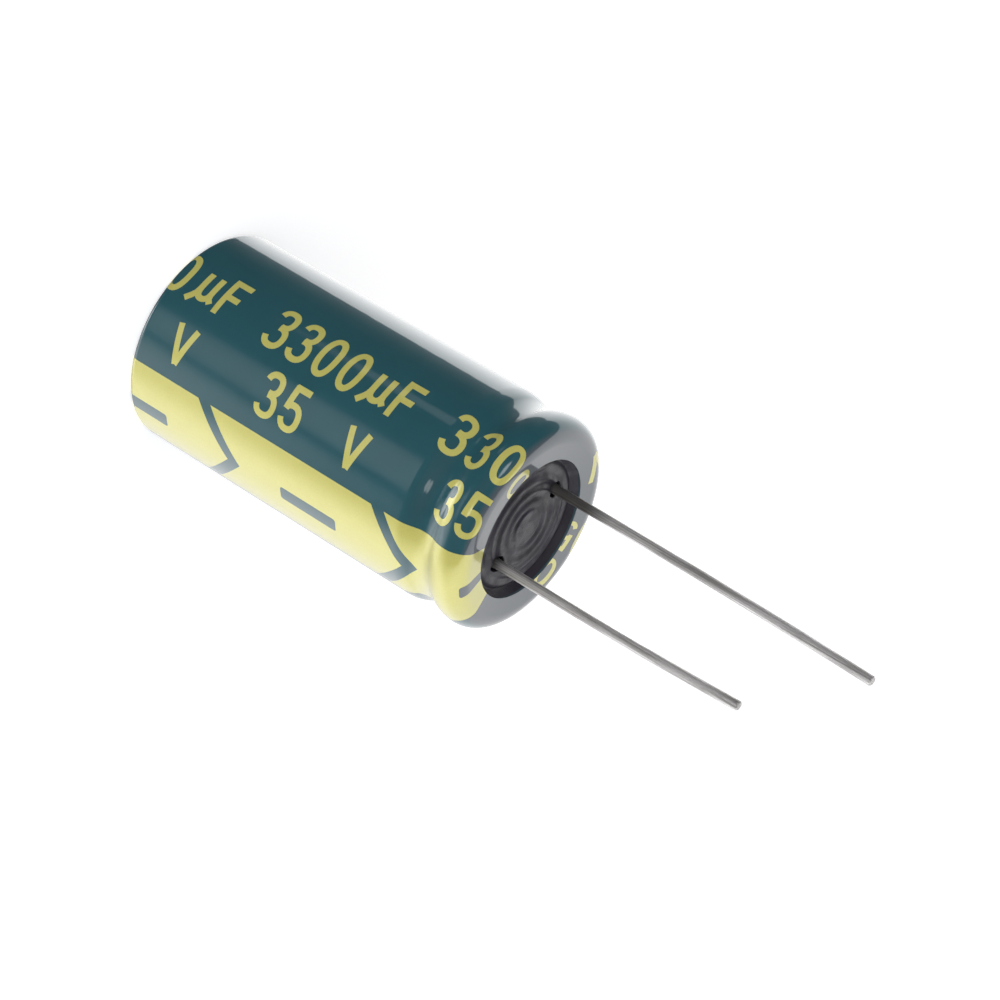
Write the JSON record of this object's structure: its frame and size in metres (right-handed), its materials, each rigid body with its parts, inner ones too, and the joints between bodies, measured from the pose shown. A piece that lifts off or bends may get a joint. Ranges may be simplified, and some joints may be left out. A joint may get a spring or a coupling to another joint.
{
  "type": "electrolytic capacitor",
  "caption": "Radial aluminium electrolytic capacitor: a sleeved can with a beaded mouth, a rubber seal, a rolled winding and solder leads, the negative side striped.",
  "frame": {"origin": "centre of the closed end, on the plane that the sleeve's turned-in foot stands on", "axes": "+Z from the closed end along the leads, +X from the negative lead to the positive lead"},
  "size_m": [0.0184, 0.0184, 0.0641],
  "materials": {
    "sleeve_film": "glossy shrunk film, dark teal",
    "gold_ink": "pale gold print under gloss",
    "can_metal": "drawn, satin",
    "seal_rubber": "moulded, slight sheen",
    "tinned_wire": "tinned, drawn lengthwise",
    "etched_foil": "etched, matt",
    "wet_paper": "absorbent paper",
    "tape_film": "thin film tape"
  },
  "bodies": {
    "root": {"sleeve": "sleeve_film", "stripe_print": "gold_ink", "can": "can_metal", "seal": "seal_rubber", "positive_lead": "tinned_wire", "negative_lead": "tinned_wire", "positive_tab": "can_metal", "negative_tab": "can_metal", "anode_foil": "etched_foil", "cathode_foil": "can_metal", "inner_separator": "wet_paper", "outer_separator": "wet_paper", "winding_tape": "tape_film"}
  },
  "joints": []
}
